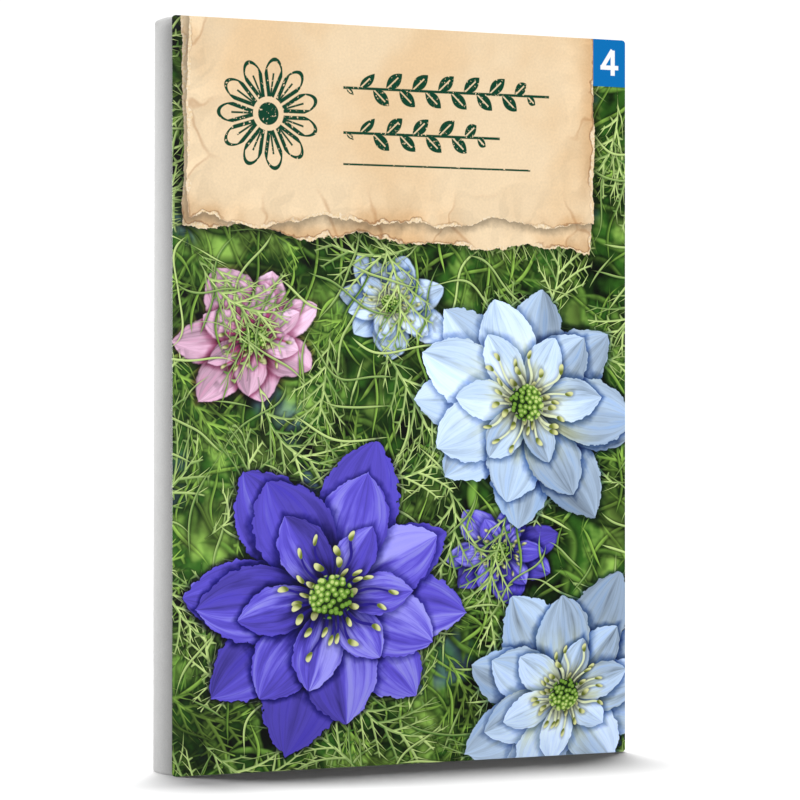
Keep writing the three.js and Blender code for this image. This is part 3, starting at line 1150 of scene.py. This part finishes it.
CUTS_NEAR_ENDS = (0.5, 1.0, 1.5, 2.0, 2.6, 3.4, 4.4, 5.6)


def sheet_surface():
    """The outside of the folded body, as one closed surface."""
    low, high = BODY_LOW, BODY_HIGH
    shape = block(low, high)

    def along_back(at_z):
        return lambda a, b: min(a.y, b.y) > high.y - NEAR and max(abs(a.z - at_z), abs(b.z - at_z)) < NEAR

    rounded(shape, edges_where(shape, along_back(high.z)), FOLD["top"], 7)
    rounded(shape, edges_where(shape, along_back(low.z)), FOLD["bottom"], 5)
    upright = edges_where(shape, lambda a, b: abs(a.z - b.z) > 20 and min(a.y, b.y) > high.y - NEAR)
    rounded(shape, upright, FOLD["back"], 4)
    foot = edges_where(shape, lambda a, b: max(a.z, b.z) < low.z + NEAR and abs(a.y - b.y) > 2)
    rounded(shape, foot, FOLD["foot"], 2)
    crisp = edges_where(shape, lambda a, b: max(a.y, b.y) < low.y + NEAR and (a - b).length > 5)
    rounded(shape, crisp, FOLD["crisp"], 3)
    cut_across(shape, 0, [side * (high.x - end) for end in CUTS_NEAR_ENDS[:6] for side in (-1, 1)])
    seam = [SEAM["x"], SEAM["x"] + SEAM["edge"], SEAM["x"] + SEAM["lap"]]
    cut_across(shape, 0, steps(low.x, high.x, CUTS["x"]) + seam)
    cut_across(shape, 1, steps(low.y + FOLD["crisp"], high.y - FOLD["back"], CUTS["y"]))
    cut_across(shape, 2, steps(low.z, high.z, CUTS["z"]))
    cut_across(shape, 2, [low.z + end for end in CUTS_NEAR_ENDS])
    cut_across(shape, 2, [high.z - end for end in CUTS_NEAR_ENDS])
    return shape


# %% What handling does to it
BUMP = {"wide": 30.0, "high": 26.0, "z": 36.0}
DENTS = {"depth": 0.12, "large": (0.16, 22.0, 5.0), "small": (0.06, 7.0, 6.0)}
FADES = {"side": 1.5, "ends": 5.0, "across": 8, "foot": 3.0}


def side_swell(x, z, depth):
    """How far a side stands out at a place between its folds; it is less than 0 where it turns in."""
    arch = max(0.0, 4 * depth * (1 - depth))
    near_top = max(0.0, 1 - (BODY_HIGH.z - z) / PINCH["height"])
    swell = SWELL["side"] * arch * (0.93 + 0.07 * unevenness(x, z, 30.0, 9.0))
    swell *= 1 - PINCH["share"] * near_top ** 3
    return swell - SWELL["turn_in"] * max(0.0, 1 - depth / SWELL["reach"]) ** 2


def back_push(x, z):
    """How far the full bag pushes the back out at a place, less the dents that handling left."""
    bump = math.exp(-((x / BUMP["wide"]) ** 2) - ((z - BUMP["z"]) / BUMP["high"]) ** 2)
    dent = DENTS["depth"]
    for depth, size, seed in (DENTS["large"], DENTS["small"]):
        dent = dent + depth * unevenness(x, z, size, seed)
    push = SWELL["bag"] * bump - max(0.0, dent)
    from_side = clipped((BODY_HIGH.x - abs(x)) / FADES["across"])
    return push * from_side * min(1.0, min(z - BODY_LOW.z, BODY_HIGH.z - z) / FADES["ends"])


def rounded_corner(x, z):
    """Rounds the two upper corners of the body's outline, seen from the front."""
    square = FOLD["corner"]
    dx, dz = abs(x) - (BODY_HIGH.x - square), z - (BODY_HIGH.z - square)
    if min(dx, dz) <= 0:
        return x, z
    inwards = 1 - max(dx, dz) / math.hypot(dx, dz)
    return x - math.copysign(dx * inwards, x), z - dz * inwards


def worn_in(shape):
    """Bends the flat surface into that of a sheet that has been folded, filled and handled."""
    low, high = BODY_LOW, BODY_HIGH
    for vert in shape.verts:
        x, y, z = vert.co
        depth = (y - low.y) / (high.y - low.y)
        vert.co.x, vert.co.z = rounded_corner(x, z)
        side = max(0.0, abs(x) - (high.x - FADES["side"])) / FADES["side"]
        vert.co.x += side * side_swell(x, z, depth) * math.copysign(1.0, x)
        dome = math.sin(math.pi * clipped(depth) ** DOME["lean"]) ** DOME["flatness"]
        vert.co.z += SWELL["top"] * dome * clipped((z - high.z + DOME["from_top"]) / DOME["rise"])
        at_foot = max(0.0, 1 - (z - low.z) / FADES["foot"])
        beside_flap = clipped((abs(x) - high.x + FLAPS["inset"]) / FADES["side"])
        vert.co.z -= FLAP_SHEET * at_foot * beside_flap
        if y > high.y - 1.0:
            vert.co.y += back_push(x, z)
            if x > SEAM["x"] + NEAR:
                vert.co.y += SEAM["step"] * max(0.0, (SEAM["x"] + SEAM["lap"] - x) / SEAM["lap"])
        vert.co.y = low.y + (vert.co.y - low.y) * (1 - SLIMMING * z / high.z)
    shape.normal_update()


# %% The body
def paper_body():
    shape = sheet_surface()
    window_x, window_low, window_high = BODY_HIGH.x - RIM, RIM, BODY_HIGH.z - RIM
    cut_across(shape, 0, [-window_x, window_x])
    cut_across(shape, 2, [window_low, window_high])
    worn_in(shape)
    opening = []
    for face in shape.faces:
        centre = face.calc_center_median()
        in_window = abs(centre.x) < window_x and window_low < centre.z < window_high
        if in_window and face.normal.y < -0.9:
            opening.append(face)
    bmesh.ops.delete(shape, geom=opening, context="FACES")
    bmesh.ops.recalc_face_normals(shape, faces=shape.faces)
    bmesh.ops.solidify(shape, geom=shape.faces[:], thickness=PAPER)
    shape.normal_update()
    for face in shape.faces:
        outer_back = face.normal.y > 0.5 and face.calc_center_median().y > 0
        face.material_index = 1 if outer_back else 0
    finishes = [paper_finish, printed_paper_finish]
    return finished("paper_body", shape, finishes, "folded_body")


paper_body()

# %% [markdown]
# ## The flaps
#
# At the top and at the base the sheet ends in a flap that is turned over the back and glued
# down. Each is cut from a copy of the body's own surface, so it follows every fold and dent
# and even the lap under it, then lifted off by a hair and thickened outwards.

# %% Flaps
def turned_flap(name, fold_z, free_z):
    shape = sheet_surface()
    worn_in(shape)
    upwards = 1 if fold_z > free_z else -1
    narrow = BODY_HIGH.x - FLAPS["inset"] - FLAPS["taper"]
    slope = FLAPS["taper"] / abs(fold_z - free_z)
    cut(shape, (0, 0, free_z), (0, 0, -upwards), drop_outside=True)
    cut(shape, (0, BODY_LOW.y + FLAPS["from_card"], 0), (0, -1, 0), drop_outside=True)
    for side in (-1, 1):
        cut(shape, (side * narrow, 0, free_z), (side, 0, -upwards * slope), drop_outside=True)
    shape.normal_update()
    lifts = {vert: vert.normal.copy() for vert in shape.verts}
    for vert, outwards in lifts.items():
        vert.co += outwards * (FLAP_SHEET + LIFT)
    bmesh.ops.solidify(shape, geom=shape.faces[:], thickness=FLAP_SHEET)
    return finished(name, shape, [paper_finish], "folded_body")


turned_flap("top_flap", BODY_HIGH.z, BODY_HIGH.z - FLAPS["top"])
turned_flap("bottom_flap", BODY_LOW.z, BODY_LOW.z + FLAPS["bottom"])

# %% [markdown]
# ## The seed bag
#
# Inside the packet the seeds are kept in a sealed bag of two glassine films, crimped together
# round their edges. One grid serves both films: it swells away from the seals, it is fullest
# round the seeds, fine ridges run across its sealed border, and noise puckers it where the
# film goes slack. The back film is the front one mirrored.

# %% Glassine film
def glassine():
    material, finish = new_material("bag_film")
    at = in_millimetres(finish)
    cloud = mottle3(at, 3.0, 3.0)
    sockets = {
        "Base Color": over(ink("e0dbce"), ink("eae6da"), ease(cloud, 0.25, 0.75)),
        "Roughness": cloud * 0.15 + 0.4,
        "Normal": bumped(mottle3(at, 1.2, 2.0), 0.2, 0.0002),
    }
    return closed(material, finish, sockets)


film_finish = glassine()
BAG = {"width": 84.0, "height": 118.0, "floor": 1.0, "seal": 7.0, "film": 0.35}
FULLNESS = {"swell": 3.4, "ramp": 8.0, "pucker": 0.07, "half_gap": 0.2, "crimp": 0.06}
HEAP = {"half_width": 26.0, "half_height": 15.0, "half_depth": 1.9, "z": 31.0}


def bag_room(x, z):
    """Half the room between the two films, in millimetres."""
    from_side = BAG["width"] / 2 - BAG["seal"] - abs(x)
    low = BAG["floor"] + BAG["seal"]
    high = BAG["floor"] + BAG["height"] - BAG["seal"]
    rises = []
    for distance in (from_side, min(z - low, high - z)):
        rises.append(math.sin(clipped(distance / FULLNESS["ramp"]) * math.pi / 2) ** 0.8)
    along = clipped((z - HEAP["z"]) / (high - HEAP["z"]))
    emptier = 1 - 0.5 * along * along * (3 - 2 * along)
    pucker = 1 + FULLNESS["pucker"] * unevenness(x, z, 6.0, 11.0) * (rises[0] * rises[1])
    return FULLNESS["swell"] * emptier * rises[0] * rises[1] * pucker


def bag_film(name, side):
    shape = bmesh.new()
    cells_x, cells_z = round(BAG["width"]), round(BAG["height"])
    bmesh.ops.create_grid(shape, x_segments=cells_x, y_segments=cells_z, size=0.5)
    bmesh.ops.scale(shape, vec=(BAG["width"], BAG["height"], 1), verts=shape.verts)
    bmesh.ops.rotate(shape, matrix=Matrix.Rotation(math.radians(90), 3, "X"), verts=shape.verts)
    middle_z = BAG["floor"] + BAG["height"] / 2
    bmesh.ops.translate(shape, vec=(0, 0, middle_z), verts=shape.verts)
    for vert in shape.verts:
        x, _, z = vert.co
        room = bag_room(x, z)
        across_seal = x if abs(x) < BAG["width"] / 2 - BAG["seal"] else z
        crimp = FULLNESS["crimp"] * math.sin(math.pi * across_seal) if room == 0.0 else 0.0
        vert.co.y = side * (room + FULLNESS["half_gap"]) + crimp
    bmesh.ops.recalc_face_normals(shape, faces=shape.faces)
    shape.normal_update()
    facing = sum(face.normal.y for face in shape.faces)
    if facing * side < 0:
        bmesh.ops.reverse_faces(shape, faces=shape.faces)
    bmesh.ops.solidify(shape, geom=shape.faces[:], thickness=BAG["film"])
    return finished(name, shape, [film_finish], f"seed_{name}", sharp=60.0)


bag_film("bag_front_film", -1)
bag_film("bag_back_film", 1)

# %% [markdown]
# ## The seeds
#
# The seeds are small, black and angular, with wrinkled coats. Each is one coarse icosphere,
# stretched and knocked about by noise until it has corners. They lie over both faces of a
# lens-shaped heap in a sunflower's spiral, which leaves no bare places, and a seeded random
# draw turns and jostles them, so every run gives the same heap.

# %% Seed coats
def seed_coat():
    material, finish = new_material("seed_coat")
    at = in_millimetres(finish)
    wrinkle = mottle3(at, 0.3, 3.0)
    sockets = {
        "Base Color": over(ink("0f0d0b"), ink("3a322a"), ease(wrinkle, 0.4, 0.75)),
        "Roughness": wrinkle * 0.3 + 0.45,
        "Normal": bumped(wrinkle, 0.6, 0.0001),
    }
    return closed(material, finish, sockets)


seed_finish = seed_coat()

# %% A heap of seeds
SEED = {"half": (1.25, 0.8, 0.85), "pairs": 560, "knock": 0.56, "jostle": 0.5, "tilt": 0.5}
SUNK = (-0.3, 0.1)
CORE = {"outline": 0.93, "depth": 0.45}
SEEDED = {"outline": 0.97, "depth": 0.8}
GOLDEN_TURN = math.pi * (3 - math.sqrt(5))


def seed_heap():
    draw = random.Random(7)
    count = 2 * SEED["pairs"]
    wide, deep, tall = HEAP["half_width"], HEAP["half_depth"], HEAP["half_height"]
    shape = bmesh.new()
    core = bmesh.ops.create_icosphere(shape, subdivisions=3, radius=1.0)["verts"]
    size = (wide * CORE["outline"], deep * CORE["depth"], tall * CORE["outline"])
    bmesh.ops.scale(shape, vec=size, verts=core)
    for number in range(count):
        seed = bmesh.ops.create_icosphere(shape, subdivisions=1, radius=1.0)["verts"]
        for vert in seed:
            vert.co *= 1 + SEED["knock"] * noise.noise(vert.co * 1.3 + Vector((number * 1.7, 0, 0)))
        bmesh.ops.scale(shape, vec=SEED["half"], verts=seed)
        turn = Matrix.Rotation(draw.uniform(0, FULL_TURN), 3, "Y")
        tilt = Matrix.Rotation(draw.uniform(-SEED["tilt"], SEED["tilt"]), 3, "Z")
        bmesh.ops.rotate(shape, matrix=tilt @ turn, verts=seed)
        reach = math.sqrt((number + 0.5) / count) * SEEDED["outline"]
        heading = number // 2 * GOLDEN_TURN
        thick = deep * math.sqrt(1 - reach ** 2) * SEEDED["depth"]
        side = 1 if number % 2 else -1
        place = (
            wide * reach * math.cos(heading) + draw.uniform(-1, 1) * SEED["jostle"],
            side * (thick + draw.uniform(*SUNK)),
            tall * reach * math.sin(heading) + draw.uniform(-1, 1) * SEED["jostle"],
        )
        bmesh.ops.translate(shape, vec=place, verts=seed)
    bmesh.ops.translate(shape, vec=(0, 0, HEAP["z"]), verts=shape.verts)
    return finished("seed_heap", shape, [seed_finish], "seeds", sharp=20.0)


seed_heap()

# %% [markdown]
# ## Floor and light
#
# The packet stands on a plain white floor that runs into a white background. A sun nearly
# overhead, a little behind the packet, bleaches the floor and drops the short soft shadow in
# front of it. A level frontal light shows the print in its own colours and hardly reaches the
# floor. A small lamp at the packet's own height, behind its left side, models the swell of
# the white paper, and a weak light from the right keeps that side and the back readable.

# %% The floor
HALF_FLOOR = 3.0


def white_floor():
    shape = bmesh.new()
    bmesh.ops.create_grid(shape, x_segments=1, y_segments=1, size=HALF_FLOOR)
    floor = meshed("floor", shape)
    material, finish = new_material("floor_white")
    sockets = {"Base Color": (0.97, 0.97, 0.97, 1), "Roughness": 0.9, "Specular IOR Level": 0.0}
    floor.data.materials.append(closed(material, finish, sockets))
    floor.visible_diffuse = False
    floor.visible_glossy = False


white_floor()

# %% The lights
def placed(name, light, place, back_to_it):
    """Puts a light at a place, turned so that its back points along a direction."""
    lamp = in_scene(name, light)
    lamp.location = place
    lamp.rotation_euler = back_to_it.to_track_quat("Z", "Y").to_euler()
    return lamp


def sun(name, heading, elevation, strength, spread):
    """A sun whose light comes from `heading` degrees clockwise from +Y, seen from above."""
    light = bpy.data.lights.new(name, "SUN")
    light.energy = strength
    light.angle = math.radians(spread)
    around, up = math.radians(heading), math.radians(elevation)
    towards = Vector((math.sin(around) * math.cos(up), math.cos(around) * math.cos(up), math.sin(up)))
    placed(name, light, towards * 2, towards)


def soft_lamp(name, place, target, size, power):
    """A square lamp at a place, turned to its target, which no camera sees."""
    light = bpy.data.lights.new(name, "AREA")
    light.size = size
    light.energy = power
    placed(name, light, place, Vector(place) - Vector(target)).visible_camera = False


sun("top_sun", heading=28.1, elevation=78.0, strength=math.pi * 1.1, spread=12.0)
sun("front_light", heading=178.0, elevation=0.6, strength=math.pi * 1.0, spread=3.0)
sun("right_light", heading=88.0, elevation=6.0, strength=1.2, spread=30.0)
soft_lamp("left_back_lamp", (-0.238, 0.275, 0.1), (-0.0575, 0.0, 0.09), size=0.16, power=1.325)

# %% The white around it
WORLD = {"lights": 0.03, "shows": 1.1}


def white_surroundings():
    world = bpy.data.worlds.new("white_surroundings")
    bpy.context.scene.world = world
    world.use_nodes = True
    finish = Finish(world.node_tree)
    white = (1, 1, 1, 1)
    dim = finish.node("ShaderNodeBackground", {}, {"Color": white, "Strength": WORLD["lights"]})
    bright = finish.node("ShaderNodeBackground", {}, {"Color": white, "Strength": WORLD["shows"]})
    seen_by_camera = finish.node("ShaderNodeLightPath")
    shown = finish.node("ShaderNodeMixShader", {}, {0: seen_by_camera, 1: dim, 2: bright})
    finish.node("ShaderNodeOutputWorld", {}, {0: shown})
    print("world:", WORLD)


white_surroundings()
